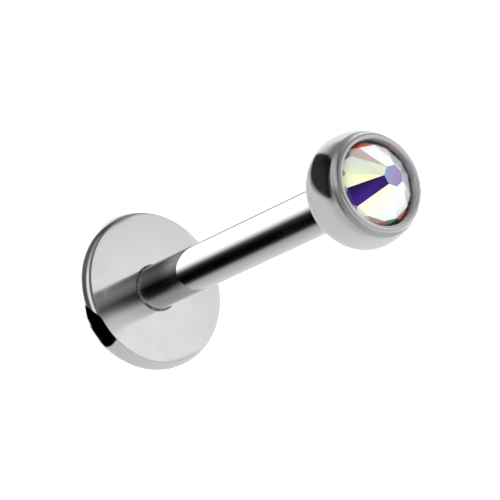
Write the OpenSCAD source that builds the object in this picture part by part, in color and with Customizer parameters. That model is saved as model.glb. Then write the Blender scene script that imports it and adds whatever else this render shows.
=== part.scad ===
// Labret stud, standing on its back disc.
// A mirror-finished disc and post in one piece carry a round-bellied head that holds a cut stone.
// The head's pin screws into the post's end. All sizes are in millimetres.
// The origin is the centre of the disc's flat back, and +Z runs up the post.

/* [Back disc] */
// Diameter of the back disc across its rounded rim
disc_d = 4.3; // [3.4:0.1:6]
// Thickness of the back disc
disc_t = 0.92; // [0.7:0.02:1.1]
// Radius of the rim's rounding, which stops at a crisp edge around the front face
rim_r = 0.58; // [0.56:0.02:0.9]

/* [Post] */
// Diameter of the post
post_d = 1.2; // [1:0.1:1.6]
// Length of the bare post between the disc and the head
post_l = 8; // [5:0.5:14]
// Width of the bevel around the mouth of the post's bore
mouth_w = 0.05; // [0.02:0.01:0.08]

/* [Head] */
// Diameter of the head's round belly
head_d = 3; // [2.8:0.1:4]
// Height of the head from its flat back to its front lip
head_h = 2.1; // [1.6:0.05:2.25]
// Width of the flat ring on the head's back, around the post
back_w = 0.2; // [0.1:0.05:0.4]
// Height of the bevel between the belly and the front lip
bevel_h = 0.2; // [0.1:0.02:0.4]
// Width of the front lip around the stone
lip_w = 0.08; // [0.04:0.01:0.12]

/* [Screw pin] */
// Diameter of the pin that screws into the post
pin_d = 0.8; // [0.6:0.05:0.9]
// Length of the pin below the head
pin_l = 2; // [1.2:0.1:4]
// Bevel at the pin's tip
pin_tip = 0.1; // [0.05:0.01:0.2]
// Running clearance around the pin, on each side
pin_gap = 0.03; // [0.02:0.01:0.06]
// Depth left free below the pin's tip
tip_gap = 0.1; // [0.05:0.05:0.4]
// Gap between the head's flat back and the post's end
shoulder_gap = 0.01; // [0:0.01:0.05]

/* [Stone] */
// Number of main facets around the table
mains = 7; // [6:1:12]
// Diameter of the stone across its girdle
stone_d = 2.2; // [1.6:0.05:2.3]
// Diameter of the table across its corners
table_d = 0.57; // [0.4:0.01:0.9]
// Diameter at which the main facets end
crown_d = 1.96; // [1.4:0.02:2.04]
// Height of the table above the girdle
crown_h = 0.81; // [0.5:0.01:1.1]
// Height of the small facets that ring the girdle
break_h = 0.18; // [0.1:0.01:0.24]
// Angle that each narrow corner facet spans at its outer end
corner_facet = 21; // [12:1:26]
// Thickness of the girdle
girdle_t = 0.08; // [0.04:0.01:0.14]
// Depth of the pavilion below the girdle
pavilion_h = 0.34; // [0.2:0.01:0.45]
// Diameter of the flat on the stone's underside
culet_d = 1.4; // [0.6:0.05:1.5]
// Depth of the girdle below the front lip
girdle_drop = 0.28; // [0.2:0.01:0.34]
// Gap between the stone and its seat
seat_gap = 0.02; // [0.01:0.01:0.05]
// Turn of the stone about the post, from a main facet that faces -Y
stone_turn = 3; // [0:1:60]

/* [Hidden] */
$fn = 96;

// Back disc and post
disc_r = disc_d / 2;
post_r = post_d / 2;
shoulder_z = disc_t + post_l;
bore_r = pin_d / 2 + pin_gap;
bore_l = pin_l + tip_gap;

// Head, measured up from its flat back
head_z = shoulder_z + shoulder_gap;
belly_r = head_d / 2;
back_r = post_r + back_w;
belly_z = sqrt(pow(belly_r, 2) - pow(back_r, 2));
bevel_z = head_h - bevel_h;
bevel_r = sqrt(pow(belly_r, 2) - pow(bevel_z - belly_z, 2));
pin_r = pin_d / 2;

// Stone and its seat, also measured up from the head's flat back
girdle_r = stone_d / 2;
girdle_z = head_h - girdle_drop;
girdle_low_z = girdle_z - girdle_t;
culet_r = culet_d / 2;
culet_z = girdle_low_z - pavilion_h;
table_z = girdle_z + crown_h;
crown_z = girdle_z + break_h;
seat_r = girdle_r + seat_gap;
seat_z = culet_z - seat_gap;
lip_r = seat_r + lip_w;

// Facet angles: the table's corners, the ends of the main facets, and the points of the girdle
facet_step = 360 / mains;
first_corner = stone_turn - 90 + facet_step / 2;
corners = [for (k = [0 : mains - 1]) first_corner + k * facet_step];
crown_angles = [for (a = corners) for (side = [-1, 1]) a + side * corner_facet / 2];
girdle_angles = [for (a = corners) for (half = [0, 1]) a + half * facet_step / 2];

function ring(r, z, angles) = [for (a = angles) [r * cos(a), r * sin(a), z]];

// Half section of the back disc: flat faces and a rounded rim
module disc_section() {
    intersection() {
        union() {
            square([disc_r - rim_r, disc_t]);
            translate([disc_r - rim_r, rim_r]) circle(rim_r);
        }
        square([disc_r, disc_t]);
    }
}

// Half section of the bore in the post's end, with its bevelled mouth
module bore_section() {
    polygon([
        [0, shoulder_z - bore_l],
        [bore_r, shoulder_z - bore_l],
        [bore_r, shoulder_z - mouth_w],
        [bore_r + mouth_w, shoulder_z],
        [bore_r + mouth_w, shoulder_z + mouth_w],
        [0, shoulder_z + mouth_w]
    ]);
}

// Half section of the solid head: round belly, front bevel and lip
module head_section() {
    intersection() {
        translate([0, belly_z]) circle(belly_r);
        square([belly_r, bevel_z]);
    }
    polygon([[0, belly_z], [bevel_r, belly_z], [bevel_r, bevel_z], [lip_r, head_h], [0, head_h]]);
}

// Pin below the head, bevelled at its tip and sunk halfway up to the belly
module pin() {
    translate([0, 0, -pin_l]) cylinder(h = pin_tip, r1 = pin_r - pin_tip, r2 = pin_r);
    translate([0, 0, pin_tip - pin_l]) cylinder(h = pin_l - pin_tip + belly_z / 2, r = pin_r);
}

// Half section of the recess that takes the stone
module seat_section() {
    polygon([
        [0, seat_z],
        [culet_r + seat_gap, seat_z],
        [seat_r, girdle_low_z],
        [seat_r, head_h + lip_w],
        [0, head_h + lip_w]
    ]);
}

// Back disc and post, one solid with a blind bore in the post's end
module labret_base() {
    color("silver")
    rotate_extrude()
    difference() {
        union() {
            disc_section();
            square([post_r, shoulder_z]);
        }
        bore_section();
    }
}

// Head with its pin, hollowed for the stone
module bezel_head() {
    color("gainsboro")
    translate([0, 0, head_z])
    difference() {
        union() {
            rotate_extrude() head_section();
            pin();
        }
        rotate_extrude() seat_section();
    }
}

// Cut stone: table, main and corner facets, a ring of small facets, girdle, pavilion and culet
module stone() {
    ends = 2 * mains;
    table_at = 0;
    crown_at = mains;
    girdle_at = crown_at + ends;
    low_at = girdle_at + ends;
    culet_at = low_at + ends;
    points = concat(
        ring(table_d / 2, table_z, corners),
        ring(crown_d / 2, crown_z, crown_angles),
        ring(girdle_r, girdle_z, girdle_angles),
        ring(girdle_r, girdle_low_z, girdle_angles),
        ring(culet_r, culet_z, girdle_angles)
    );
    faces = concat(
        [[for (k = [mains - 1 : -1 : 0]) table_at + k]],
        [for (k = [0 : mains - 1])
            [table_at + k, crown_at + 2 * k + 1, crown_at + 2 * k]],
        [for (k = [0 : mains - 1])
            [table_at + k, table_at + (k + 1) % mains,
             crown_at + (2 * k + 2) % ends, crown_at + 2 * k + 1]],
        [for (j = [0 : ends - 1])
            [crown_at + j, crown_at + (j + 1) % ends, girdle_at + j]],
        [for (j = [0 : ends - 1])
            [crown_at + (j + 1) % ends, girdle_at + (j + 1) % ends, girdle_at + j]],
        [for (j = [0 : ends - 1])
            [girdle_at + j, girdle_at + (j + 1) % ends, low_at + (j + 1) % ends, low_at + j]],
        [for (j = [0 : ends - 1])
            [low_at + j, low_at + (j + 1) % ends, culet_at + (j + 1) % ends, culet_at + j]],
        [[for (j = [0 : ends - 1]) culet_at + j]]
    );
    color("lavender")
    translate([0, 0, head_z])
    polyhedron(points, faces);
}

labret_base();
bezel_head();
stone();
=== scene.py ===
"""Labret stud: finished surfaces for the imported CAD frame.

The stud stands on its back disc. A polished disc and post carry a round-bellied head that screws into the
post's end and holds a cut crystal with an iridescent coating. Lengths are in metres, +Z runs up the post, and
the camera stands on the -Y side.
"""

import bpy
import numpy as np
from bpy.props import FloatProperty, FloatVectorProperty, IntProperty, PointerProperty
from bpy.types import NodeSocket, Operator, Panel, PropertyGroup
from mathutils import Matrix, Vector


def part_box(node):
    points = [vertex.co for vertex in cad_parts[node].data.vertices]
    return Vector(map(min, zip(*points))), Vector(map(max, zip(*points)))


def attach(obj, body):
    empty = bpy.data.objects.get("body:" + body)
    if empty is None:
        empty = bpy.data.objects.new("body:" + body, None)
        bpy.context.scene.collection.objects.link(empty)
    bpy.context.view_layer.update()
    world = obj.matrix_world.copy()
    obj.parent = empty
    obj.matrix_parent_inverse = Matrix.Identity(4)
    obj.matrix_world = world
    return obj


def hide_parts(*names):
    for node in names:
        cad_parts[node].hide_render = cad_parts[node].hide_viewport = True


bl_info = {
    "name": "Labret Stud",
    "version": (1, 0, 0),
    "blender": (4, 5, 0),
    "location": "3D View > Sidebar > Labret Stud",
    "description": "Builds the finished surfaces, the crystal and the stage of a labret stud",
    "category": "Object",
}

MM = 0.001

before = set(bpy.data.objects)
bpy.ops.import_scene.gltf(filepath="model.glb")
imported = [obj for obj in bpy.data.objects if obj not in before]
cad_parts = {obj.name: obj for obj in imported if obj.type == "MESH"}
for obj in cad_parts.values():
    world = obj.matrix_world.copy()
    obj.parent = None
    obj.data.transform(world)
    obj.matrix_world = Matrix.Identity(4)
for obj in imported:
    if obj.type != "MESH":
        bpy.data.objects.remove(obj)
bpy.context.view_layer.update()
BASE_LOW, BASE_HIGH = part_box("labret_base")
HEAD_LOW, HEAD_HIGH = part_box("bezel_head")
STONE_LOW, STONE_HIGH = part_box("stone")

# How close to a corner a profile's next point lies, on large forms and on small ones
FINE = 0.01 * MM
TIGHT = 0.006 * MM
# Points round each turned piece
AROUND = 192
# Violet that the colour tables are made for
VIOLET = (0.085, 0.018, 0.36)


# Sizes and colours that a user may change


def a_length(name, description, default):
    """Length that a user may change."""
    return FloatProperty(name=name, description=description, default=default, unit="LENGTH", precision=6)


def a_share(name, description, default):
    """Value from 0 to 1 that a user may change."""
    return FloatProperty(name=name, description=description, default=default, min=0, max=1)


def an_angle(name, description, degrees):
    """Angle that a user may change."""
    return FloatProperty(name=name, description=description, default=np.radians(degrees), subtype="ANGLE")


def a_colour(name, description, default):
    """Colour that a user may change."""
    return FloatVectorProperty(
        name=name, description=description, default=default, subtype="COLOR", size=3, min=0, max=1
    )


class LabretBaseSizes(PropertyGroup):
    """Sizes of the back disc and the post."""

    disc_width: a_length("Disc width", "Diameter across the rounded rim", BASE_HIGH.x - BASE_LOW.x)
    disc_thickness: a_length("Disc thickness", "Thickness of the disc at its middle", 0.92 * MM)
    rim_rounding: a_length("Rim rounding", "Radius of the rim, up to the edge round the face", 0.58 * MM)
    edge_rounding: a_length("Edge rounding", "Small radius that polishing leaves on that edge", 0.024 * MM)
    face_fall: a_length("Face fall", "How far the face falls from its middle to its edge", 0.006 * MM)
    post_width: a_length("Post width", "Diameter of the post", 1.2 * MM)
    foot_groove: a_length("Foot groove", "Width and depth of the groove at the post's foot", 0.03 * MM)


class LabretThreadSizes(PropertyGroup):
    """Sizes of the screw thread on the pin and in the bore."""

    pin_width: a_length("Pin width", "Diameter of the pin over its thread", 0.8 * MM)
    bore_width: a_length("Bore width", "Diameter of the bore between its thread's crests", 0.86 * MM)
    bore_depth: a_length("Bore depth", "Depth of the bore in the post's end", 2.1 * MM)
    pitch: a_length("Pitch", "Distance from one turn of the thread to the next", 0.2 * MM)
    depth: a_length("Depth", "Depth of the thread", 0.065 * MM)


class LabretHeadSizes(PropertyGroup):
    """Sizes of the head."""

    head_width: a_length("Head width", "Diameter of the round belly", HEAD_HIGH.x - HEAD_LOW.x)
    head_height: a_length("Head height", "Height from the flat back to the front lip", 2.1 * MM)
    belly_drop: a_length("Belly drop", "From the widest circle down to where it would close", 1.06 * MM)
    neck_width: a_length("Neck width", "Diameter of the short neck on the post's end", 1.32 * MM)
    bevel_height: a_length("Bevel height", "Height of the bevel between the belly and the lip", 0.2 * MM)
    bevel_hollow: a_length("Bevel hollow", "How far the bevel is hollowed", 0.006 * MM)
    bead_width: a_length("Bead width", "Width of the rounded bead around the crystal", 0.142 * MM)
    opening_width: a_length("Opening width", "Diameter of the opening for the crystal", 2.24 * MM)


class LabretCrystalSizes(PropertyGroup):
    """Sizes and colours of the cut crystal."""

    mains: IntProperty(name="Main facets", description="Facets around the table", default=7, min=6, max=12)
    girdle_width: a_length("Girdle width", "Diameter of the crystal across its girdle", 2.2 * MM)
    table_width: a_length("Table width", "Diameter of the table across its corners", 0.57 * MM)
    crown_width: a_length("Crown width", "Diameter at which the main facets end", 1.96 * MM)
    culet_width: a_length("Underside width", "Diameter of the flat on the underside", 1.4 * MM)
    turn: an_angle("Turn", "Turn about the post, from a main facet that faces the camera", 3)
    edge_width: a_length("Edge width", "Width of the polished edges between the facets", 0.007 * MM)
    table_colour: a_colour("Table colour", "Colour that the coating gives the table", (0.235, 0.205, 0.40))
    violet_colour: a_colour("Violet", "Deep violet of the facet that faces the camera", VIOLET)


class LabretFinish(PropertyGroup):
    """Colour and polish of the steel."""

    steel_colour: a_colour("Steel colour", "Colour of the polished steel", (0.86, 0.863, 0.868))
    polish: a_share("Roughness", "Roughness of the steel where it is cleanest", 0.035)
    haze: a_share("Haze", "Roughness that handling adds where the polish is dull", 0.09)
    hairlines: a_share("Hairlines", "Strength of the fine scratches", 0.25)


class LabretStage(PropertyGroup):
    """Camera, floor and light."""

    elevation: an_angle("Camera elevation", "Height of the camera above the horizon", 51.54)
    roll: an_angle("Camera roll", "Turn of the picture that lays the post across it", 64.8)
    distance: a_length("Camera distance", "From the camera to the middle of the post", 100 * MM)
    lens: FloatProperty(
        name="Lens", description="Focal length for a 36 mm sensor", default=279.7, subtype="DISTANCE_CAMERA"
    )
    floor_colour: a_colour("Floor colour", "Colour of the pale floor", (0.93, 0.93, 0.932))
    sky_strength: FloatProperty(
        name="Surrounding light", description="Strength of the even light from all sides", default=1.25, min=0
    )
    key_power: FloatProperty(
        name="Soft box power", description="Power of each soft box", default=1.6, min=0, unit="POWER"
    )


# Profiles and surfaces of revolution


def arc(centre, radius, first, last, count):
    """Points of a circle: centre plus radius times the cosine and sine of first to last degrees."""
    angles = np.radians(np.linspace(first, last, count))
    return np.array(centre) + radius * np.column_stack((np.cos(angles), np.sin(angles)))


def chain(start, *runs):
    """One profile from runs laid end to end, with doubled points left out.

    A run is points, or (end, count, near) for a straight line to end, with count points spaced evenly from
    near its start to as near its end.
    """
    points = np.array([start], float)
    for run in runs:
        if isinstance(run, tuple):
            end, count, near = run
            share = near / np.linalg.norm(end - points[-1])
            steps = np.append(np.linspace(share, 1 - share, count), 1.0)
            run = points[-1] + steps[:, None] * (end - points[-1])
        points = np.concatenate((points, run))
    apart = np.linalg.norm(np.diff(points, axis=0), axis=1) > 1e-9
    return points[np.append(True, apart)]


def thread_wave(turns):
    """Thread form against turns: 0 on a flat crest and 1 in a rounded root, a clipped cosine."""
    return np.clip(0.62 - 0.85 * np.cos(2 * np.pi * turns), 0, 1)


def quads_between(index, after):
    """Quads from a grid of point numbers and the numbers one column further, row by row."""
    return np.stack((index[:-1], after[:-1], after[1:], index[1:]), axis=-1).reshape(-1, 4).tolist()


def revolved(profile, around, groove=None, pitch=1.0):
    """Surface of revolution of a profile that starts and ends on the axis.

    The point at (row, angle) is (r cos a, r sin a, z), where r and z are the profile's. With a groove, r
    changes by groove times the thread form at z / pitch less the angle in turns, which winds a helix.
    """
    turns = np.arange(around) / around
    radius = np.repeat(profile[1:-1, :1], around, axis=1)
    height = np.repeat(profile[1:-1, 1:], around, axis=1)
    if groove is not None:
        radius = radius + groove[1:-1, None] * thread_wave(height / pitch - turns[None, :])
    angles = 2 * np.pi * turns[None, :]
    grid = np.stack((radius * np.cos(angles), radius * np.sin(angles), height), axis=-1)
    poles = np.array([[0, 0, profile[0, 1]], [0, 0, profile[-1, 1]]])

    index = np.arange(radius.size).reshape(radius.shape)
    nxt = np.roll(index, -1, axis=1)
    pole = np.full(around, radius.size)
    first_fan = np.stack((pole, nxt[0], index[0]), axis=-1)
    last_fan = np.stack((pole + 1, index[-1], nxt[-1]), axis=-1)
    points = np.concatenate((grid.reshape(-1, 3), poles))
    return points, quads_between(index, nxt) + first_fan.tolist() + last_fan.tolist()


def smooth_step(value, low, high):
    """0 below low, 1 above high, and 3t^2 - 2t^3 between them."""
    share = np.clip((value - low) / (high - low), 0, 1)
    return share * share * (3 - 2 * share)


def new_piece(name, points, faces, materials, smooth=True):
    """Mesh object at the origin made of these points and faces."""
    mesh = bpy.data.meshes.new(name)
    mesh.from_pydata(points.tolist(), [], faces)
    if mesh.validate():
        raise RuntimeError(f"{name} has faces that don't hold together")
    mesh.polygons.foreach_set("use_smooth", np.full(len(mesh.polygons), smooth))
    for material in materials:
        mesh.materials.append(material)
    piece = bpy.data.objects.new(name, mesh)
    bpy.context.scene.collection.objects.link(piece)
    return piece


def face_heights(piece):
    """Distance from the axis and height of each face's centre."""
    centres = np.zeros(len(piece.data.polygons) * 3)
    piece.data.polygons.foreach_get("center", centres)
    x, y, z = centres.reshape(-1, 3).T
    return np.hypot(x, y), z


# Node helpers


def put(tree, node, inputs):
    """Gives a node's inputs their values or links."""
    for socket, value in inputs.items():
        if isinstance(value, NodeSocket):
            tree.links.new(value, node.inputs[socket])
        else:
            node.inputs[socket].default_value = value
    return node


def add(tree, kind, inputs=None, **settings):
    """A shader node of this kind with its settings, and values or links for its inputs."""
    node = tree.nodes.new("ShaderNode" + kind)
    for name, value in settings.items():
        setattr(node, name, value)
    return put(tree, node, inputs or {})


def maths(tree, operation, first, second=0.0, third=0.0):
    """Result of a Math node."""
    return add(tree, "Math", {0: first, 1: second, 2: third}, operation=operation).outputs[0]


def hypotenuse(tree, first, second):
    """Square root of the sum of two squares."""
    pair = add(tree, "CombineXYZ", {"X": first, "Y": second})
    return add(tree, "VectorMath", {0: pair.outputs[0]}, operation="LENGTH").outputs["Value"]


def between(tree, value, low, high, out_low=0.0, out_high=1.0):
    """Value mapped smoothly from low..high to out_low..out_high."""
    limits = {"From Min": low, "From Max": high, "To Min": out_low, "To Max": out_high}
    ramp = add(tree, "MapRange", {"Value": value, **limits}, interpolation_type="SMOOTHSTEP")
    return ramp.outputs["Result"]


def blended(tree, share, first, second, mode="MIX"):
    """Two colours mixed by share."""
    mix = add(tree, "Mix", {0: share, 6: first, 7: second}, data_type="RGBA", blend_type=mode)
    return mix.outputs[2]


def noise(tree, place, scale, detail=2.0, roughness=0.5):
    """Value of a noise at a place."""
    inputs = {"Vector": place, "Scale": scale, "Detail": detail, "Roughness": roughness}
    return add(tree, "TexNoise", inputs).outputs["Fac"]


def bumped(tree, height, strength, distance):
    """Normal of a bump of this height."""
    return add(tree, "Bump", {"Height": height, "Strength": strength, "Distance": distance}).outputs["Normal"]


def surfaced(tree, inputs):
    """Finishes a material with a Principled BSDF."""
    shader = add(tree, "BsdfPrincipled", inputs)
    add(tree, "OutputMaterial", {"Surface": shader.outputs["BSDF"]})


def times(colour, factor):
    """A colour times a factor, with full alpha."""
    return (*(factor * c for c in colour[:3]), 1.0)


def new_group(name, inputs, outputs):
    """Shader node group, its given sockets and its result sockets.

    Each input is a number with that default, or a vector where that is None. The outputs are numbers.
    """
    tree = bpy.data.node_groups.new(name, "ShaderNodeTree")
    for label, default in inputs.items():
        kind = "NodeSocketVector" if default is None else "NodeSocketFloat"
        socket = tree.interface.new_socket(label, in_out="INPUT", socket_type=kind)
        if default is not None:
            socket.default_value = default
    for label in outputs:
        tree.interface.new_socket(label, in_out="OUTPUT", socket_type="NodeSocketFloat")
    return tree, tree.nodes.new("NodeGroupInput").outputs, tree.nodes.new("NodeGroupOutput").inputs


def use_group(tree, build, inputs):
    """Places the node group of build's name, which is built once, and gives its outputs."""
    node = add(tree, "Group")
    node.node_tree = bpy.data.node_groups.get(build.__name__) or build(build.__name__)
    return put(tree, node, inputs).outputs


def hairline_scratches(name):
    """Fine scratches of polishing: two stretched noises that cross, thresholded to thin lines."""
    tree, given, result = new_group(name, {"Vector": None, "Amount": 1.0}, ("Height", "Lines"))
    lines = []
    for turn, stretch in (((0.3, 0.5, 0.4), (46000, 900, 900)), ((-0.5, 0.2, 1.5), (38000, 700, 700))):
        laid = add(tree, "Mapping", {"Vector": given["Vector"], "Rotation": turn, "Scale": stretch})
        lines.append(between(tree, noise(tree, laid.outputs["Vector"], 1.0), 0.64, 0.76))
    both = maths(tree, "MULTIPLY", maths(tree, "MAXIMUM", *lines), given["Amount"])
    tree.links.new(both, result["Lines"])
    tree.links.new(maths(tree, "MULTIPLY", both, -1.0), result["Height"])
    return tree


def handling_haze(name):
    """Handling haze: soft cloudy patches with small specks, from 0 where clean to 1 where dull."""
    tree, given, result = new_group(name, {"Vector": None, "Scale": 900.0}, ("Haze", "Specks"))
    cloud = noise(tree, given["Vector"], given["Scale"], 4.0, 0.6)
    fine = maths(tree, "MULTIPLY", given["Scale"], 14.0)
    dust = add(tree, "TexVoronoi", {"Vector": given["Vector"], "Scale": fine, "Randomness": 1.0})
    tree.links.new(between(tree, cloud, 0.42, 0.72), result["Haze"])
    tree.links.new(between(tree, dust.outputs["Distance"], 0.11, 0.04), result["Specks"])
    return tree


def turning_rings(name):
    """Turning marks: a noise along the distance from the axis less the height, which makes rings."""
    tree, given, result = new_group(name, {"Vector": None, "Spacing": 0.00002}, ("Height", "Shade"))
    parts = add(tree, "SeparateXYZ", {"Vector": given["Vector"]}).outputs
    reach = maths(tree, "SUBTRACT", hypotenuse(tree, parts["X"], parts["Y"]), parts["Z"])
    place = maths(tree, "DIVIDE", reach, given["Spacing"])
    along = {"W": place, "Scale": 1.0, "Detail": 3.0, "Roughness": 0.7}
    rings = add(tree, "TexNoise", along, noise_dimensions="1D").outputs["Fac"]
    tree.links.new(rings, result["Height"])
    tree.links.new(between(tree, rings, 0.35, 0.65), result["Shade"])
    return tree


def painted_corner_shade(name):
    """Broken ring of painted shade: up to 1 on a circle of this radius and height, and 0 at this width from
    it.
    """
    inputs = {"Vector": None, "Radius": 0.001, "Height": 0.0, "Width": 0.0001}
    tree, given, result = new_group(name, inputs, ("Mask",))
    parts = add(tree, "SeparateXYZ", {"Vector": given["Vector"]}).outputs
    out = maths(tree, "SUBTRACT", hypotenuse(tree, parts["X"], parts["Y"]), given["Radius"])
    up = maths(tree, "SUBTRACT", parts["Z"], given["Height"])
    whole = between(tree, hypotenuse(tree, out, up), given["Width"], 0.0)
    gaps = between(tree, noise(tree, given["Vector"], 11000.0), 0.35, 0.6, 0.45, 1.0)
    tree.links.new(maths(tree, "MULTIPLY", whole, gaps), result["Mask"])
    return tree


def new_material(name):
    """Empty node material, its tree and its Object coordinates."""
    material = bpy.data.materials.new(name)
    material.use_nodes = True
    tree = material.node_tree
    tree.nodes.clear()
    return material, tree, add(tree, "TexCoord").outputs["Object"]


def steel(name, rings, spacing, dark_corner=None, roughness=None, metallic=1.0, tone=1.0, ring_tone=0.78):
    """Polished steel with hairlines, turning marks of this strength, haze, and a ring of painted shade in one
    corner.
    """
    finish = bpy.context.scene.labret_finish
    material, tree, place = new_material(name)
    hair = use_group(tree, hairline_scratches, {"Vector": place, "Amount": finish.hairlines})
    haze = use_group(tree, handling_haze, {"Vector": place, "Scale": 620.0})
    turned = use_group(tree, turning_rings, {"Vector": place, "Spacing": spacing})
    # A tone below 1 darkens the clean colour: painted shade of a recess
    clean = times(finish.steel_colour, tone)
    colour = blended(tree, maths(tree, "MULTIPLY", haze["Haze"], 0.35), clean, times(clean, 0.9))
    ring_share = maths(tree, "MULTIPLY", turned["Shade"], 0.5 * rings)
    colour = blended(tree, ring_share, colour, times(clean, ring_tone))
    rough = finish.polish if roughness is None else roughness
    for mask, amount in (
        (haze["Haze"], finish.haze),
        (hair["Lines"], 0.12),
        (haze["Specks"], 0.1),
        (turned["Shade"], 0.25 * rings),
    ):
        rough = maths(tree, "MULTIPLY_ADD", mask, amount, rough)
    if dark_corner is not None:
        ring = dict(zip(("Radius", "Height", "Width"), dark_corner))
        corner_shade = use_group(tree, painted_corner_shade, {"Vector": place, **ring})["Mask"]
        # Painted shade: the ring darkens the colour nearly to black
        colour = blended(tree, maths(tree, "MULTIPLY", corner_shade, 0.85), colour, (0.06, 0.055, 0.05, 1))
        rough = maths(tree, "MULTIPLY_ADD", corner_shade, 0.25, rough)
    height = maths(tree, "MULTIPLY_ADD", turned["Height"], rings, hair["Height"])
    normal = bumped(tree, height, 0.35, 0.0000012)
    surfaced(tree, {"Base Color": colour, "Metallic": metallic, "Roughness": rough, "Normal": normal})
    return material


# Back disc and post


def base_profile(sizes, thread, shoulder):
    """Profile of the disc and post, from the middle of the flat back round to the bottom of the bore.

    The rim is a circle that meets the face in a small rounding, whose centre is where both are touched. The
    face falls away from the post as the square of the radius. A fine groove runs round the post's foot.
    """
    outer = sizes.disc_width / 2
    rim = sizes.rim_rounding
    small = sizes.edge_rounding
    post = sizes.post_width / 2
    groove = sizes.foot_groove
    face = sizes.disc_thickness
    bore = thread.bore_width / 2
    floor_z = shoulder - thread.bore_depth
    top_round = 0.025 * MM
    mouth = 0.05 * MM
    meet = np.arcsin((face - sizes.face_fall - small - rim) / (rim - small))
    corner = np.array((outer - rim, rim)) + (rim - small) * np.array([np.cos(meet), np.sin(meet)])
    meet = np.degrees(meet)
    edge_r = corner[0]
    inner_r = post + 1.6 * groove
    radii = np.concatenate(([edge_r], np.linspace(edge_r - FINE, inner_r + FINE, 30), [inner_r]))
    fall = sizes.face_fall * ((radii - inner_r) / (edge_r - inner_r)) ** 2
    profile = chain(
        (0, 0),
        ((outer - rim, 0), 12, FINE),
        arc((outer - rim, rim), rim, -90, meet, 64),
        arc(corner, small, meet, 90, 7),
        np.column_stack((radii, face - fall)),
        arc((inner_r, face - 0.6 * groove), 0.6 * groove, 90, 180, 6),
        ((post, face - groove), 2, 0.002 * MM),
        ((post, shoulder - top_round), 40, FINE),
        arc((post - top_round, shoulder - top_round), top_round, 0, 90, 7),
        ((bore + mouth, shoulder), 2, 0.004 * MM),
        ((bore, shoulder - mouth), 2, 0.004 * MM),
        ((bore, floor_z), 150, FINE),
        ((0, floor_z), 6, FINE),
    )
    r, z = profile.T
    on_wall = (np.abs(r - bore) < 1e-8) & (z > floor_z) & (z < shoulder - mouth)
    fade = smooth_step(z, floor_z + 0.15 * MM, floor_z + 0.3 * MM)
    fade = fade * smooth_step(shoulder - mouth - z, 0, 0.06 * MM)
    return profile, on_wall * fade * thread.depth


class LABRET_OT_base(Operator):
    """Builds the back disc and post as one polished piece"""

    bl_idname = "labret.base"
    bl_label = "Back disc and post"
    bl_options = {"REGISTER", "UNDO"}

    def execute(self, context):
        sizes = context.scene.labret_base
        thread = context.scene.labret_thread
        shoulder = BASE_HIGH.z
        post = sizes.post_width / 2
        profile, groove = base_profile(sizes, thread, shoulder)
        points, faces = revolved(profile, AROUND, groove, thread.pitch)
        # Ring of painted shade round the post's foot, on the groove and the face
        corner = (post + 0.02 * MM, sizes.disc_thickness - 0.01 * MM, 0.05 * MM)
        body = steel("mirror_steel_base", 0.06, 0.03 * MM, corner)
        bore = steel("turned_steel_bore", 1.0, 0.02 * MM, roughness=0.22)
        lapped = steel("lapped_steel_face", 0.06, 0.03 * MM, corner, roughness=0.085)
        piece = new_piece("polished_base", points, faces, [body, bore, lapped])
        radius, height = face_heights(piece)
        inside = (radius < post - 0.03 * MM) & (height > shoulder - thread.bore_depth - 0.01 * MM)
        level = np.abs(height - sizes.disc_thickness) < sizes.face_fall + 0.001 * MM
        kind = inside.astype(int)
        kind[level & (radius > post + 0.02 * MM)] = 2
        piece.data.polygons.foreach_set("material_index", kind)
        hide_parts("labret_base")
        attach(piece, "base")
        return {"FINISHED"}


# Head and its screw pin


def bend(first, second, third, last, count):
    """Cubic curve: the four points weighed by the terms of (1 - t + t)^3."""
    t = np.linspace(0, 1, count)[:, None]
    u = 1 - t
    return u**3 * first + 3 * u * u * t * second + 3 * u * t * t * third + t**3 * last


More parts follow.
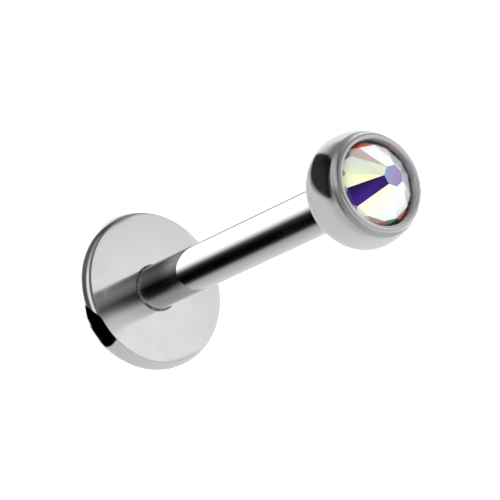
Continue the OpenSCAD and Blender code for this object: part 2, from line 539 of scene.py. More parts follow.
def head_profile(sizes, thread, back_z):
    """Profile of the head, from the tip of its pin round to the middle of the recess.

    The belly's lower half is part of an ellipse and its upper half part of a circle, both widest at one
    height. A short neck bends into it from below. The bevel is a shallow hollow arc from the belly's crest to
    the bead, and the bead is half an ellipse. The recess has a straight wall and a sloping seat.
    """
    belly = sizes.head_width / 2
    neck_r = sizes.neck_width / 2
    opening = sizes.opening_width / 2
    half = 0.5 * sizes.bead_width
    pin = thread.pin_width / 2
    root_r = pin - thread.depth
    pin_end = HEAD_LOW.z
    shank_z = back_z - 0.3 * MM
    tip = 0.1 * MM
    small = 0.012 * MM
    fillet = 0.03 * MM
    widest_z = back_z + 1.269 * MM
    lip_z = back_z + sizes.head_height
    crest_z = lip_z - sizes.bevel_height
    crest_r = np.sqrt(belly**2 - (crest_z - widest_z) ** 2)
    high_angle = np.degrees(np.arcsin((crest_z - widest_z) / belly))
    bead_z = lip_z - 0.066 * MM
    girdle_z = lip_z - 0.36 * MM
    seat_r = seat_drop = 0.72 * MM

    angles = np.radians(np.linspace(-55, 0, 56))
    lower = np.column_stack((belly * np.cos(angles), widest_z + sizes.belly_drop * np.sin(angles)))
    slope = (lower[1] - lower[0]) / np.linalg.norm(lower[1] - lower[0])
    neck_top = np.array([neck_r, back_z + 0.09 * MM])
    neck = bend(neck_top, neck_top + np.array([0, 0.14 * MM]), lower[0] - 0.12 * MM * slope, lower[0], 22)

    start = np.array([crest_r - 0.006 * MM, crest_z + 0.004 * MM])
    chord = np.array([opening + 2 * half, bead_z]) - start
    along = np.linspace(0, 1, 14)[:, None]
    inward = np.array([-chord[1], chord[0]]) / np.linalg.norm(chord)
    hollow = start + along * chord + 4 * along * (1 - along) * sizes.bevel_hollow * inward
    sweep = np.radians(np.linspace(6, 172, 26))
    bead = np.column_stack((opening + half + half * np.cos(sweep), bead_z + (lip_z - bead_z) * np.sin(sweep)))
    profile = chain(
        (0, pin_end),
        ((pin - tip, pin_end), 5, FINE),
        ((pin, pin_end + tip), 3, TIGHT),
        ((pin, shank_z), 190, TIGHT),
        ((root_r, back_z - 0.24 * MM), 2, TIGHT),
        ((root_r, back_z - fillet), 3, TIGHT),
        arc((root_r + fillet, back_z - fillet), fillet, 180, 90, 6),
        ((neck_r - small, back_z), 5, FINE),
        arc((neck_r - small, back_z + small), small, -90, 0, 5),
        neck,
        lower,
        arc((0, widest_z), belly, 0, high_angle - 0.5, 40),
        hollow,
        bead,
        [[opening, bead_z]],
        ((opening, girdle_z), 24, TIGHT),
        ((seat_r, lip_z - seat_drop), 6, TIGHT),
        ((0, lip_z - seat_drop), 6, FINE),
    )
    r, z = profile.T
    on_pin = (np.abs(r - pin) < 1e-8) & (z < shank_z + 0.01 * MM)
    fade = smooth_step(z, pin_end + tip, pin_end + tip + 0.1 * MM) * smooth_step(shank_z - z, 0, 0.03 * MM)
    return profile, -thread.depth * on_pin * fade


class LABRET_OT_head(Operator):
    """Builds the head with its bezel and screw pin"""

    bl_idname = "labret.head"
    bl_label = "Bezel head and screw pin"
    bl_options = {"REGISTER", "UNDO"}

    def execute(self, context):
        sizes = context.scene.labret_head
        thread = context.scene.labret_thread
        lip_z = HEAD_HIGH.z
        back_z = lip_z - sizes.head_height
        opening = sizes.opening_width / 2
        profile, groove = head_profile(sizes, thread, back_z)
        points, faces = revolved(profile, AROUND, groove, thread.pitch)
        # Rings of painted shade: in the crevice under the bead, and where the crystal sits on the seat
        crevice = (opening, lip_z - 0.07 * MM, 0.05 * MM)
        contact = (opening, lip_z - 0.29 * MM, 0.15 * MM)
        finishes = [
            steel("mirror_steel_head", 0.05, 0.03 * MM),
            steel("turned_steel_bezel", 0.25, 0.016 * MM, roughness=0.13),
            steel("threaded_steel_pin", 0.8, 0.02 * MM, roughness=0.16),
            # The seat's steel is darkened as painted shade of the recess
            steel("bored_steel_seat", 1.6, 0.03 * MM, contact, 0.3, metallic=0.5, tone=0.64, ring_tone=0.5),
            steel("satin_steel_bead", 0.4, 0.02 * MM, crevice, 0.34),
        ]
        piece = new_piece("polished_head", points, faces, finishes)
        radius, height = face_heights(piece)
        above_crest = height > lip_z - sizes.bevel_height
        kind = above_crest.astype(int)
        kind[height < back_z - 0.0001 * MM] = 2
        kind[above_crest & (radius < opening + sizes.bead_width)] = 4
        kind[(height > back_z + 0.5 * sizes.head_height) & (radius < opening + 0.001 * MM)] = 3
        piece.data.polygons.foreach_set("material_index", kind)
        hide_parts("bezel_head")
        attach(piece, "head")
        return {"FINISHED"}


# Crystal


def ring(radius, height, angles):
    """Points at one radius and height, at these angles."""
    return np.column_stack((radius * np.cos(angles), radius * np.sin(angles), np.full(len(angles), height)))


# How far below the table the main facets end, and the girdle's band starts and ends
CROWN_DROP = 0.63 * MM
GIRDLE_DROP = 0.81 * MM
BAND_DROP = 0.89 * MM


def crystal_mesh(sizes, low_z, table_z):
    """Points of the crystal, and its faces kind by kind.

    Rings of points at the table, crown, girdle and underside lie at the cut's angles. Each facet joins points
    of two rings: a triangle from each table corner, a trapezoid for each main facet, and pairs of small
    triangles between the crown ring and the girdle. The girdle's band, the back and the underside close it.
    """
    mains = sizes.mains
    ends = 2 * mains
    step = 2 * np.pi / mains
    corners = sizes.turn - np.pi / 2 + step / 2 + step * np.arange(mains)
    half = np.radians(10.5)
    crown = (corners[:, None] + np.array([-half, half])).ravel()
    girdle = (corners[:, None] + np.array([0, step / 2])).ravel()
    points = np.concatenate(
        (
            ring(sizes.table_width / 2, table_z, corners),
            ring(sizes.crown_width / 2, table_z - CROWN_DROP, crown),
            ring(sizes.girdle_width / 2, table_z - GIRDLE_DROP, girdle),
            ring(sizes.girdle_width / 2, table_z - BAND_DROP, girdle),
            ring(sizes.culet_width / 2, low_z, girdle),
        )
    )
    k = np.arange(mains)
    j = np.arange(ends)
    after = (j + 1) % ends
    at_crown, at_girdle, at_low, at_culet = mains + ends * np.arange(4)
    facets = (
        k[None, :],
        np.column_stack((k, at_crown + 2 * k, at_crown + 2 * k + 1)),
        np.column_stack((k, at_crown + 2 * k + 1, at_crown + (2 * k + 2) % ends, (k + 1) % mains)),
        np.column_stack((at_crown + j, at_girdle + j, at_crown + after)),
        np.column_stack((at_crown + after, at_girdle + j, at_girdle + after)),
        np.column_stack((at_girdle + j, at_low + j, at_low + after, at_girdle + after)),
        np.column_stack((at_low + j, at_culet + j, at_culet + after, at_low + after)),
        at_culet + j[None, ::-1],
    )
    return points, [facet for kind in facets for facet in kind.tolist()]


# Colour on each facet, from the violet one round: at its inner end and two outer corners. The violet is the
# coating's own colour; the pale, yellow and green tones are painted reflections and glints
MAIN_COATING_AND_GLINTS = (
    ((0.03, 0.014, 0.13), (0.012, 0.010, 0.04), (0.075, 0.02, 0.30)),
    ((0.93, 0.93, 0.70), (0.95, 0.96, 0.76), (0.80, 0.97, 0.93)),
    ((0.90, 0.97, 0.97), (0.82, 0.97, 0.98), (0.94, 0.97, 0.95)),
    ((0.84, 0.95, 0.97), (0.80, 0.92, 0.96), (0.92, 0.95, 0.97)),
    ((0.88, 0.95, 0.97), (0.84, 0.90, 0.95), (0.90, 0.97, 0.98)),
    ((0.90, 0.98, 0.97), (0.94, 0.98, 0.97), (0.97, 0.98, 0.98)),
    ((0.62, 0.67, 0.52), (0.66, 0.70, 0.63), (0.78, 0.84, 0.62)),
)
CORNER_COATING_AND_GLINTS = (
    ((0.92, 0.93, 0.55), (0.95, 0.96, 0.62), (0.95, 0.98, 0.78)),
    ((0.90, 0.97, 0.97), (0.80, 0.96, 0.97), (0.88, 0.97, 0.95)),
    ((0.84, 0.90, 0.93), (0.78, 0.86, 0.90), (0.88, 0.80, 0.76)),
    ((0.80, 0.84, 0.92), (0.74, 0.78, 0.88), (0.80, 0.90, 0.93)),
    ((0.86, 0.94, 0.96), (0.90, 0.80, 0.76), (0.90, 0.96, 0.97)),
    ((0.42, 0.40, 0.40), (0.62, 0.44, 0.40), (0.52, 0.42, 0.40)),
    ((0.93, 0.94, 0.50), (0.93, 0.95, 0.54), (0.97, 0.97, 0.76)),
)
# The small facets around the rim, in order from the corner facet on the right of the violet one: painted
# glints and reflections
UPPER_BREAK_GLINTS = (
    (0.86, 0.88, 0.86), (0.50, 0.31, 0.34), (0.19, 0.26, 0.19), (0.79, 0.30, 0.19), (0.32, 0.31, 0.29),
    (0.80, 0.82, 0.80), (0.45, 0.46, 0.46), (0.75, 0.30, 0.24), (0.30, 0.43, 0.40), (0.83, 0.16, 0.09),
    (0.66, 0.50, 0.47), (0.72, 0.78, 0.68), (0.86, 0.88, 0.56), (0.05, 0.02, 0.18),
)
LOWER_BREAK_GLINTS = (
    (0.78, 0.74, 0.74), (0.75, 0.22, 0.19), (0.11, 0.12, 0.08), (0.72, 0.19, 0.10), (0.56, 0.60, 0.57),
    (0.42, 0.42, 0.42), (0.36, 0.30, 0.28), (0.68, 0.27, 0.21), (0.19, 0.30, 0.30), (0.80, 0.14, 0.07),
    (0.31, 0.34, 0.31), (0.40, 0.41, 0.34), (0.42, 0.41, 0.44), (0.40, 0.36, 0.50),
)


def painted_facet_ghosts(name):
    """Painted ghosts of the back facets seen through the front: straight-edged cells of slightly varied grey.
    """
    tree, given, result = new_group(name, {"Vector": None, "Scale": 1500.0}, ("Ghost",))
    cells = add(tree, "TexVoronoi", {"Vector": given["Vector"], "Scale": given["Scale"], "Randomness": 0.8})
    shade = add(tree, "SeparateColor", {"Color": cells.outputs["Color"]})
    tree.links.new(shade.outputs["Red"], result["Ghost"])
    return tree


def crystal_material():
    """Foiled crystal: the coating's colours with painted reflections and glints on the facets, a clear glossy
    face and faint painted ghosts of the back facets.
    """
    material, tree, place = new_material("coated_crystal")
    # Facet colours: the coating's violet and lavender with painted reflections and glints
    coating_and_glint_tint = add(tree, "Attribute", attribute_name="facet_colour").outputs["Color"]
    ghosts = use_group(tree, painted_facet_ghosts, {"Vector": place, "Scale": 1500.0})
    haze = use_group(tree, handling_haze, {"Vector": place, "Scale": 1100.0})
    hair = use_group(tree, hairline_scratches, {"Vector": place, "Amount": 0.12})
    share = maths(tree, "MULTIPLY", ghosts["Ghost"], 0.16)
    rough = maths(tree, "MULTIPLY_ADD", haze["Haze"], 0.05, 0.05)
    surfaced(
        tree,
        {
            "Base Color": blended(tree, share, coating_and_glint_tint, (0.42, 0.44, 0.52, 1.0), mode="MULTIPLY"),
            "Metallic": 0.35,
            "Roughness": maths(tree, "MULTIPLY_ADD", haze["Specks"], 0.08, rough),
            "IOR": 1.6,
            "Coat Weight": 1.0,
            "Coat Roughness": 0.02,
            "Normal": bumped(tree, hair["Height"], 0.2, 0.000001),
        },
    )
    return material


def foil_material():
    """Silver foil on the crystal's back: bright metal with a fine sprayed grain."""
    material, tree, place = new_material("silver_foil")
    grain = noise(tree, place, 30000.0, 3.0, 0.6)
    surfaced(
        tree,
        {
            "Base Color": blended(tree, grain, (0.70, 0.70, 0.72, 1), (0.82, 0.82, 0.84, 1)),
            "Metallic": 1.0,
            "Roughness": between(tree, grain, 0.3, 0.7, 0.25, 0.45),
            "Normal": bumped(tree, grain, 0.4, 0.000001),
        },
    )
    return material


def facet_colours(sizes, corners):
    """Colour at each corner of each face, in the order of the faces: the coating's colour with painted
    reflections and glints, and grey on the band and the back.
    """
    mains = sizes.mains
    order = np.arange(mains)
    main_rows = np.array(MAIN_COATING_AND_GLINTS)
    main_rows[0] = np.clip(main_rows[0] + np.array(sizes.violet_colour) - np.array(VIOLET), 0, 1)
    main_rows = main_rows[(order + 1) % mains % 7]
    ends = np.arange(2 * mains) % 14
    turned = sizes.turn - np.pi / 2 + 2 * np.pi * (order + 0.5) / mains
    drift = np.cos(turned - np.radians(45))[:, None] * np.array([0.03, -0.06, -0.05])
    colours = np.concatenate(
        (
            np.clip(np.array(sizes.table_colour) + drift, 0, 1),
            np.array(CORNER_COATING_AND_GLINTS)[order % 7].reshape(-1, 3),
            main_rows[:, [0, 1, 2, 0]].reshape(-1, 3),
            np.repeat(np.array(UPPER_BREAK_GLINTS)[ends], 3, axis=0),
            np.repeat(np.array(LOWER_BREAK_GLINTS)[ends], 3, axis=0),
        )
    )
    grey = np.full((corners - len(colours), 3), 0.55)
    return np.column_stack((np.concatenate((colours, grey)), np.ones(corners)))


class LABRET_OT_crystal(Operator):
    """Builds the cut crystal with its coating and foil back"""

    bl_idname = "labret.crystal"
    bl_label = "Cut crystal"
    bl_options = {"REGISTER", "UNDO"}

    def execute(self, context):
        sizes = context.scene.labret_crystal
        points, faces = crystal_mesh(sizes, STONE_LOW.z, STONE_HIGH.z)
        piece = new_piece("cut_crystal", points, faces, [crystal_material(), foil_material()], smooth=False)
        layer = piece.data.color_attributes.new("facet_colour", "FLOAT_COLOR", "CORNER")
        colours = facet_colours(sizes, len(piece.data.loops))
        layer.data.foreach_set("color", colours.astype(np.float32).ravel())
        silvered = np.zeros(len(faces), int)
        silvered[-(2 * sizes.mains + 1):] = 1
        piece.data.polygons.foreach_set("material_index", silvered)
        edge = piece.modifiers.new("polished_edges", "BEVEL")
        edge.width = sizes.edge_width
        edge.segments = 2
        edge.limit_method = "ANGLE"
        edge.angle_limit = np.radians(4)
        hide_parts("stone")
        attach(piece, "head")
        return {"FINISHED"}


# Stage


# Brightness against the angle round the axis in degrees: the studio as the metal mirrors it. The floor and
# walls are for the head and the disc's face, the sleeve for the post, and the curb for the disc's rim
FLOOR = ((0, 0.7), (40, 0.74), (65, 0.95), (80, 0.93), (100, 0.9), (150, 0.86), (175, 0.62), (262, 0.6),
         (320, 0.62))
HORIZON = ((0, 0.48), (60, 0.42), (120, 0.45), (148, 0.34), (165, 0.22), (200, 0.15), (250, 0.13),
           (262, 0.28), (275, 0.5), (300, 0.5))
LOW_WALL = ((0, 0.44), (90, 0.55), (140, 0.4), (162, 0.2), (180, 0.22), (200, 0.5), (238, 0.55), (252, 0.24),
            (270, 0.22), (300, 0.3), (330, 0.36))
HIGH_WALL = ((0, 0.55), (55, 0.62), (80, 0.93), (86, 0.85), (87, 0.69), (88, 0.7), (89, 0.89), (90, 0.8),
             (94, 0.68), (100, 0.55), (115, 0.32), (135, 0.2), (200, 0.17), (232, 0.1), (246, 0.04),
             (255, 0.02), (286, 0.02), (299, 0.3), (310, 0.5), (330, 0.56))
SLEEVE = ((90, 0.37), (127, 0.44), (139, 1.4), (226, 1.4), (229, 1.05), (234, 0.92), (239, 0.72), (244, 0.49),
          (249, 0.25), (254, 0.105), (259, 0.048), (264, 0.02), (269, 0.01), (274, 0.005), (284, 0.001),
          (299, 0.002), (304, 0.004), (309, 0.01), (314, 0.031), (319.6, 0.092), (325, 0.21), (330, 0.33),
          (343, 0.46), (360, 0.54), (390, 0.66), (430, 0.78), (450, 0.8))
# How far the dark part of the horizon is drawn in towards the stud, in millimetres
NEAR_DARK = ((140, 60), (160, 30), (195, 30), (215, 60))
# The black card on the table: where its far edge runs, in millimetres
CARD_EDGE = ((-75, -27), (-40, -8), (-27, -2), (-10, 3), (-8, 3.6))
# The curb's grey round its far side, at its foot, in its dark band, its light side, its dark line and its top
CURB_FAR = ((310, 0.6), (330, 0.64), (0, 0.7), (30, 0.75), (60, 0.8), (110, 0.8))
CURB_UNDER = (*CURB_FAR, (150, 0.74), (165, 0.58), (175, 0.6), (185, 0.85), (197, 1.2), (291, 1.2),
              (291.5, 0.56))
CURB_BAND = (*CURB_FAR, (145, 0.7), (155, 0.4), (165, 0.25), (185, 0.1), (196, 0.08), (228, 0.12),
             (249, 0.08), (291, 0.08), (291.5, 0.56))
CURB_SIDE = (*CURB_FAR, (150, 0.7), (165, 0.4), (185, 0.25), (196, 0.15), (207, 0.24), (217, 0.33),
             (228, 0.55), (238, 0.84), (291, 0.84), (292, 0.56))
CURB_LINE = (*CURB_FAR, (150, 0.6), (165, 0.2), (185, 0.15), (249, 0.15), (291, 0.12), (292, 0.56))
CURB_TOP = ((0, 0.7), (30, 0.78), (110, 0.8), (150, 0.5), (190, 0.25), (291, 0.2), (297, 0.56), (310, 0.62))
# Heights in millimetres at which the dark band starts and ends, and of the curb's top edge
BAND_START = ((145, 0.62), (175, 0.66), (185, 0.64), (196, 0.56), (207, 0.49), (217, 0.46), (228, 0.42))
BAND_END = ((185, 0.9), (196, 0.88), (207, 0.75), (217, 0.75), (228, 0.75), (238, 0.74), (249, 0.72))
CURB_RISE = ((0, 1.4), (125, 1.4), (140, 1.08), (330, 1.08), (345, 1.4))
# The foot card as a share of the high wall: low on the post's foot, at the foot's top, and in the disc by the
# post, and the light that is added in the disc out at its edge
FOOT_LOW = ((134, 0.25), (200, 0.62), (235, 0.45), (250, 0.12), (298, 0.03), (308, 0.14), (320, 0.42),
            (340, 0.6), (400, 0.7))
FOOT_TOP = ((134, 1.5), (205, 2.0), (250, 0.8), (290, 0.15), (310, 0.32), (340, 0.7), (400, 0.73))
DISC_NEAR = ((134, 0.55), (165, 0.57), (200, 1.15), (240, 1.2), (270, 1.0), (286, 1.2), (294, 0.4),
             (306, 0.45), (320, 0.68), (340, 0.87), (400, 0.93))
DISC_LIFT = ((134, 0.12), (180, 0.06), (250, 0.03), (265, 0.06), (285, 0.18), (305, 0.25), (320, 0.29),
             (340, 0.2), (400, 0.16))
# How far out from the post the disc's flat face ends
FACE_WIDTH = 1.45 * MM
# How far the sleeve stands off the post, and the foot card and the curb off the disc
SLEEVE_GAP = 0.08 * MM
FOOT_GAP = 0.3 * MM
CURB_GAP = 0.15 * MM
# How far away the soft boxes are, and how wide
BOX_DISTANCE = 0.6
BOX_WIDTH = 0.35
# Width of the picture in pixels and of the sensor in millimetres, and how far the aim is moved, in pixels
PICTURE = 500
SENSOR = 36
AIM_RIGHT = 9.0
AIM_DOWN = 2.3


def around(angle, stops):
    """Brightness at each angle, read between the stops all the way round."""
    return np.interp(angle, *np.array(stops).T, period=360)


def floor_brightness(x, y):
    """What the metal sees on the table: pale board, dark under the disc's near edge, and a black card."""
    radius = np.hypot(x, y)
    angle = np.degrees(np.arctan2(y, x)) % 360
    blot_edge = np.interp(angle, (266, 270, 280, 297), (2.33, 2.2, 2.05, 1.9)) * MM
    blot = rim_blot(angle, 0.0) * smooth_step(radius, blot_edge - 0.03 * MM, blot_edge + 0.03 * MM)
    under = around(angle, CURB_UNDER) * (1 - blot)
    shade = under + (around(angle, FLOOR) - under) * smooth_step(radius, 2.3 * MM, 2.34 * MM)
    far_x, far_y = np.array(CARD_EDGE).T * MM
    soft = 0.05 * radius + 0.01 * MM
    card = smooth_step(np.interp(x, far_x, far_y) - y, -soft, soft) * smooth_step(-x, 5.3 * MM, 9.3 * MM)
    card = card * smooth_step(264 - angle, 0, 8) * smooth_step(radius, 110 * MM, 60 * MM)
    dark_from = around(angle, NEAR_DARK) * MM
    far = smooth_step(radius, 0.3 * dark_from, dark_from)
    return (shade + (around(angle, HORIZON) - shade) * far) * (1 - 0.95 * card)


def rim_blot(angle, height):
    """Black gap in the curb, which leans with height: 1 inside it and 0 outside."""
    left = 256.5 + 17 * (height / MM) ** 2
    right = 297 - 3 * height / MM
    across = smooth_step(angle, left - 0.6, left + 0.6) * smooth_step(right - angle, -0.6, 0.6)
    lowest = np.interp(angle, (257, 262, 268), (0.4, 0.26, -0.1)) * MM
    return across * smooth_step(height, lowest - 0.03 * MM, lowest + 0.03 * MM)


def wall_brightness(angle, elevation):
    """What the metal sees above the table: horizon, low wall, high wall and the bright top."""
    slope = np.interp(angle, (60, 75, 88, 96, 120), (0, 0.07, 0.055, 0.015, 0))
    high = around(angle, HIGH_WALL) * (1 + slope * np.clip(elevation - 51.5, -2.5, 2.5))
    shade = around(angle, HORIZON)
    for wall, low, full in ((around(angle, LOW_WALL), 2, 7), (high, 26, 38), (1.0, 66, 80)):
        shade = shade + (wall - shade) * smooth_step(elevation, low, full)
    return shade


def foot_brightness(angle, out):
    """What the post's foot and its image in the disc mirror, by the distance out from the post on the disc.

    Below zero the ray met the post first: dark low on the foot, and lighter at its top. Above zero it met the
    disc first: dark by the post, and lighter out at the disc's edge.
    """
    wall = around(angle, HIGH_WALL)
    low = around(angle, FOOT_LOW)
    post = wall * (low + (around(angle, FOOT_TOP) - low) * smooth_step(-out, 0.7 * MM, 1.35 * MM))
    disc = wall * around(angle, DISC_NEAR) + around(angle, DISC_LIFT) * np.clip(out / FACE_WIDTH, 0, 1)
    near = post + (disc - post) * smooth_step(out, -0.03 * MM, 0.03 * MM)
    inside = smooth_step(137 - np.abs(np.mod(angle - 90, 360) - 180), 0, 12)
    return wall + (near - wall) * inside


def glowing(name, two_sided=False, fading=False):
    """Light of a card that only mirrors see, with a brightness at each point, and another on its outer side.

    A fading card thins out to nothing where its presence falls to 0.
    """
    material, tree, _ = new_material(name)
    shade = add(tree, "Attribute", attribute_name="brightness").outputs["Fac"]
    if two_sided:
        outer = add(tree, "Attribute", attribute_name="outer_brightness").outputs["Fac"]
        inside = add(tree, "NewGeometry").outputs["Backfacing"]
        shade = maths(tree, "MULTIPLY_ADD", maths(tree, "SUBTRACT", shade, outer), inside, outer)
    surface = add(tree, "Emission", {"Strength": shade}).outputs["Emission"]
    if fading:
        share = add(tree, "Attribute", attribute_name="presence").outputs["Fac"]
        clear = add(tree, "BsdfTransparent").outputs["BSDF"]
        surface = add(tree, "MixShader", {0: share, 1: clear, 2: surface}).outputs[0]
    add(tree, "OutputMaterial", {"Surface": surface})
    return material


def only_in_mirrors(piece, **values):
    """Hides a card from all but mirror reflections, and gives it its brightness at each point."""
    for name, shade in values.items():
        layer = piece.data.attributes.new(name, "FLOAT", "POINT")
        layer.data.foreach_set("value", shade.astype(np.float32).ravel())
    for ray in ("camera", "diffuse", "transmission", "volume_scatter", "shadow"):
        setattr(piece, "visible_" + ray, False)
    return piece


def studio_surroundings():
    """Shell that only mirrors see: a disc under the table that turns up into a dome.

    Along the profile the radius grows on the table to the dome's foot, then the elevation grows to the top.
    """
    reach = 300 * MM
    depth = -0.02 * MM
    radii = np.concatenate((np.linspace(0.1, 14, 90), np.geomspace(14.4, 299, 70))) * MM
    table = np.column_stack((radii, np.full(len(radii), depth)))
    rise = np.radians(np.concatenate((np.linspace(0, 12, 30), np.linspace(13, 89.9, 90))))
    dome = np.column_stack((reach * np.cos(rise), depth + reach * np.sin(rise)))
    profile = np.concatenate(([[0, depth]], table, dome, [[0, depth + reach]]))
    points, faces = revolved(profile, 360)
    x, y, z = points.T
    elevation = np.degrees(np.arctan2(z - depth, np.hypot(x, y)))
    angle = np.degrees(np.arctan2(y, x)) % 360
    shade = np.where(z < depth + 0.001 * MM, floor_brightness(x, y), wall_brightness(angle, elevation))
    shell = new_piece("studio_surroundings", points, faces, [glowing("surroundings")])
    return only_in_mirrors(shell, brightness=shade)


def curved_cards(name, grids, material):
    """One piece from grids of points, each with its quads facing away from the post."""
    quads = []
    first = 0
    for grid in grids:
        rows, columns = grid.shape[:2]
        index = first + np.arange(rows * columns).reshape(rows, columns)
        quads += quads_between(index[:, :-1], index[:, 1:])
        first += rows * columns
    points = np.concatenate([grid.reshape(-1, 3) for grid in grids])
    return new_piece(name, points, quads, [material])


def ruled(low, high, low_z, high_z, share):
    """Grid on straight lines from each low point to its high one: start plus share times the difference."""
    lower = np.column_stack((*low, low_z))
    upper = np.column_stack((*high, high_z))
    return lower + share[:, None, None] * (upper - lower)


def off_the_post(post, seen, radius):
    """Where rays that the post turns to these angles meet a cylinder, how far they went, and their direction.

    A ray from the camera that meets the post at angle f is turned to 2f + 90 degrees.
    """
    on_post = (seen - np.pi / 2) / 2 + np.pi
    start = post * np.stack((np.cos(on_post), np.sin(on_post)))
    way = np.stack((np.cos(seen), np.sin(seen)))
    ahead = (start * way).sum(axis=0)
    travel = np.sqrt(ahead**2 - post**2 + radius**2) - ahead
    return start + travel * way, travel, way


def post_sleeve(base, tilt):
    """Curved reflector close round the post: white on one side, black along its front and grey on the other.

    It ends at the edge below which the post's rays go on to the disc. Its outer side is as bright as the post
    would be there, for the disc's face. A slat below it lies along the rays from the post's foot, and lets
    them out.
    """
    post = base.post_width / 2
    seen = np.radians(np.linspace(90, 450, 361))
    met, travel, way = off_the_post(post, seen, post + SLEEVE_GAP)
    to_edge = off_the_post(post, seen, base.disc_width / 2 - 0.11 * MM)[1]
    foot = base.disc_thickness + (to_edge - travel) * np.tan(tilt + np.radians(0.8)) - 0.05 * MM
    foot = foot + 0.5 * MM * smooth_step(np.abs(np.degrees(seen) - 270), 143, 153)
    top = np.full(len(seen), BASE_HIGH.z - 0.06 * MM)
    reach = 0.24 * MM
    rise = reach * np.tan(tilt + np.radians(0.6))
    grids = [
        ruled(met, met, foot + 1.9 * rise, top, np.linspace(0, 1, 30)),
        ruled(met, met + reach * way, foot, foot + rise, np.linspace(0, 1, 9)),
    ]
    tones = np.interp(np.degrees(seen), *np.array(SLEEVE).T)
    inner = np.concatenate([np.tile(tones, len(grid)) for grid in grids])
    x, _, heights = np.concatenate([grid.reshape(-1, 3) for grid in grids]).T
    aside = x / post
    behind = 360 - np.degrees(np.arccos(np.clip(aside, -1, 1)))
    mirrored = 0.87 * foot_brightness((2 * behind + 90) % 360, FACE_WIDTH)
    mirrored = np.where(np.abs(aside) < 1, mirrored, around(90, HIGH_WALL))
    outer = mirrored + (0.62 - mirrored) * smooth_step(heights, 4 * MM, 6 * MM)
    sleeve = curved_cards("post_reflector", grids, glowing("sleeve_light", two_sided=True))
    return only_in_mirrors(sleeve, brightness=inner, outer_brightness=outer)


def foot_card(base, tilt):
    """Curved reflector round the disc, above the curb, for the post's foot and its image in the disc.

    Rays that met the post before the disc reach it low down, and rays that met the disc first reach it higher
    up, so each height stands for one distance out from the post. It thins out to nothing above that.
    """
    seen = np.radians(np.linspace(134, 406, 273))
    met, travel, _ = off_the_post(base.post_width / 2, seen, base.disc_width / 2 + FOOT_GAP)
    level = base.disc_thickness + travel * np.tan(tilt)
    low = np.full(len(seen), 1.43 * MM)
    grid = ruled(met, met, low, level + 3.2 * MM * np.tan(tilt), np.linspace(0, 1, 160))
    out = (grid[:, :, 2] - level) / np.tan(tilt)
    card = curved_cards("foot_reflector", [grid], glowing("foot_light", fading=True))
    shade = foot_brightness(np.degrees(seen), out)
    return only_in_mirrors(card, brightness=shade, presence=smooth_step(-out, -3.1 * MM, -FACE_WIDTH))


def belly_card():
    """Flat pale ring round the post, level with its upper half, for the underside of the head."""
    angles = np.radians(np.linspace(0, 360, 181))
    way = np.stack((np.cos(angles), np.sin(angles)))
    level = np.full(len(angles), 6.5 * MM)
    grid = ruled(0.74 * MM * way, 2.35 * MM * way, level, level, np.linspace(0, 1, 6))
    card = curved_cards("belly_reflector", [grid], glowing("belly_light"))
    return only_in_mirrors(card, brightness=np.tile(around(np.degrees(angles), FLOOR), 6))


def rim_curb(base):
    """Low curved reflector round the disc's rim: by height a dark band, a light side and a dark line."""
    angles = np.radians(np.linspace(0, 360, 721))
    degrees = np.degrees(angles) % 360
    heights = np.linspace(-0.01, 1, 142)[:, None] * around(degrees, CURB_RISE) * MM
    start = around(degrees, BAND_START) * MM
    end = around(degrees, BAND_END) * MM
    shade = around(degrees, CURB_UNDER) * np.ones_like(heights)
    for tone, low, high in (
        (CURB_BAND, start - 0.06 * MM, start + 0.08 * MM),
        (CURB_SIDE, end - 0.05 * MM, end + 0.05 * MM),
        (CURB_LINE, 0.84 * MM, 0.87 * MM),
        (CURB_TOP, 0.96 * MM, 1.0 * MM),
    ):
        shade = shade + (around(degrees, tone) - shade) * smooth_step(heights, low, high)
    shade = shade * (1 - rim_blot(degrees, heights))
    radius = base.disc_width / 2 + CURB_GAP
    grid = np.stack(np.broadcast_arrays(radius * np.cos(angles), radius * np.sin(angles), heights), axis=-1)
    curb = curved_cards("rim_reflector", [grid], glowing("curb_light"))
    return only_in_mirrors(curb, brightness=shade)


def pale_floor(colour):
    """Large round floor of pale board with a slight sheen and a faint grain, lit a little from below."""
    radii = np.concatenate(([0.5, 2, 6, 14], np.geomspace(30, 900, 24))) * MM
    angles = np.radians(3.75 * np.arange(96))
    rings = [ring(radius, 0.0, angles) for radius in radii]
    index = np.arange(len(radii) * 96).reshape(len(radii), 96)
    nxt = np.roll(index, -1, axis=1)
    fan = np.stack((np.full(96, index.size), index[0], nxt[0]), axis=-1)
    material, tree, place = new_material("pale_board")
    grain = noise(tree, place, 2500.0, 3.0, 0.6)
    surfaced(
        tree,
        {
            "Base Color": blended(tree, grain, times(colour, 1.0), times(colour, 0.985)),
            "Roughness": between(tree, grain, 0.3, 0.7, 0.3, 0.36),
            "Specular IOR Level": 0.25,
            "Emission Color": (1, 1, 1, 1),
            "Emission Strength": 0.35,
        },
    )
    points = np.concatenate((*rings, [[0, 0, 0]]))
    floor = new_piece("pale_floor", points, quads_between(nxt, index) + fan.tolist(), [material])
    floor.visible_glossy = False
    return floor


def placed(name, data, right, up, back, where):
    """Lamp or camera object that looks along the reverse of back, with these axes, at this place."""
    thing = bpy.data.objects.new(name, data)
    bpy.context.scene.collection.objects.link(thing)
    pose = Matrix(np.column_stack((right, up, back)).tolist()).to_4x4()
    pose.translation = where.tolist()
    thing.matrix_world = pose
    return thing


def soft_box(name, azimuth, elevation, power):
    """Square area light that faces the stud from this direction."""
    lamp = bpy.data.lights.new(name, "AREA")
    lamp.shape = "SQUARE"
    lamp.size = BOX_WIDTH
    lamp.energy = power
    a, e = np.radians((azimuth, elevation))
    back = np.array([np.cos(a) * np.cos(e), np.sin(a) * np.cos(e), np.sin(e)])
    side = np.cross([0, 0, 1], back)
    side /= np.linalg.norm(side)
    box = placed(name, lamp, side, np.cross(back, side), back, BOX_DISTANCE * back + np.array([0, 0, 5 * MM]))
    box.visible_glossy = False


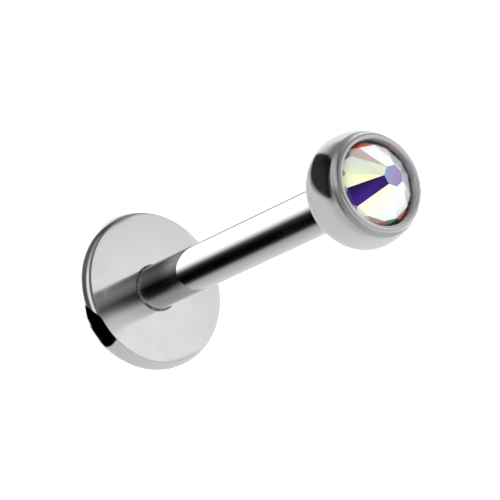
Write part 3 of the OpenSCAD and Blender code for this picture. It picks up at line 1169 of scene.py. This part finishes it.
def place_camera(stage, middle):
    """Camera on the -Y side that looks down at the middle of the post, rolled as the picture is.

    The aim is moved a little in the picture's plane, so that the post's middle stands where it does in the
    photograph.
    """
    tilt = stage.elevation
    back = np.array([0, -np.cos(tilt), np.sin(tilt)])
    level = np.array([1.0, 0, 0])
    rise = np.array([0, np.sin(tilt), np.cos(tilt)])
    right = np.cos(stage.roll) * level + np.sin(stage.roll) * rise
    up = -np.sin(stage.roll) * level + np.cos(stage.roll) * rise
    pixel = stage.distance * SENSOR / stage.lens / PICTURE
    aim = np.array([0, 0, middle]) + AIM_RIGHT * pixel * right - AIM_DOWN * pixel * up
    data = bpy.data.cameras.new("camera")
    data.lens = stage.lens
    data.sensor_width = SENSOR
    data.clip_start = 5 * MM
    data.clip_end = 5
    bpy.context.scene.camera = placed("camera", data, right, up, back, aim + stage.distance * back)


def even_light(strength):
    """White world light from all sides."""
    world = bpy.data.worlds.new("even_light")
    world.use_nodes = True
    tree = world.node_tree
    tree.nodes.clear()
    sky = add(tree, "Background", {"Color": (1, 1, 1, 1), "Strength": strength})
    add(tree, "OutputWorld", {"Surface": sky.outputs["Background"]})
    bpy.context.scene.world = world


class LABRET_OT_stage(Operator):
    """Builds the floor, the light and the camera"""

    bl_idname = "labret.stage"
    bl_label = "Floor, light and camera"
    bl_options = {"REGISTER", "UNDO"}

    def execute(self, context):
        stage = context.scene.labret_stage
        context.scene.view_settings.view_transform = "Standard"
        base = context.scene.labret_base
        tilt = stage.elevation
        round_post = (post_sleeve(base, tilt), foot_card(base, tilt), belly_card(), rim_curb(base))
        pale_floor(stage.floor_colour)
        studio_surroundings()
        even_light(stage.sky_strength)
        soft_box("soft_box_left", 200, 55, stage.key_power)
        soft_box("soft_box_right", 330, 60, stage.key_power)
        place_camera(stage, base.disc_thickness + (BASE_HIGH.z - base.disc_thickness) / 2)
        return {"FINISHED"}


GROUPS = {
    "labret_base": LabretBaseSizes,
    "labret_thread": LabretThreadSizes,
    "labret_head": LabretHeadSizes,
    "labret_crystal": LabretCrystalSizes,
    "labret_finish": LabretFinish,
    "labret_stage": LabretStage,
}


class LABRET_PT_stud(Panel):
    """Sidebar panel that lists the builders and their sizes"""

    bl_idname = "LABRET_PT_stud"
    bl_label = "Labret Stud"
    bl_space_type = "VIEW_3D"
    bl_region_type = "UI"
    bl_category = "Labret Stud"

    def draw(self, context):
        headings = ("Back disc and post", "Screw thread", "Head", "Crystal", "Steel", "Stage")
        for heading, settings in zip(headings, GROUPS):
            box = self.layout.box()
            box.label(text=heading)
            group = getattr(context.scene, settings)
            for name in group.__annotations__:
                box.prop(group, name)
            if settings not in ("labret_thread", "labret_finish"):
                box.operator(settings.replace("_", "."))


CLASSES = (LABRET_OT_base, LABRET_OT_head, LABRET_OT_crystal, LABRET_OT_stage, LABRET_PT_stud)


def register():
    """Registers the settings, operators and panel."""
    for name, group in GROUPS.items():
        bpy.utils.register_class(group)
        setattr(bpy.types.Scene, name, PointerProperty(type=group))
    for each in CLASSES:
        bpy.utils.register_class(each)


def unregister():
    """Removes what register added."""
    for each in reversed(CLASSES):
        bpy.utils.unregister_class(each)
    for name, group in GROUPS.items():
        delattr(bpy.types.Scene, name)
        bpy.utils.unregister_class(group)


def main():
    """Builds every piece and the stage."""
    register()
    bpy.ops.labret.stage()
    bpy.ops.labret.base()
    bpy.ops.labret.head()
    bpy.ops.labret.crystal()


if __name__ == "__main__":
    main()
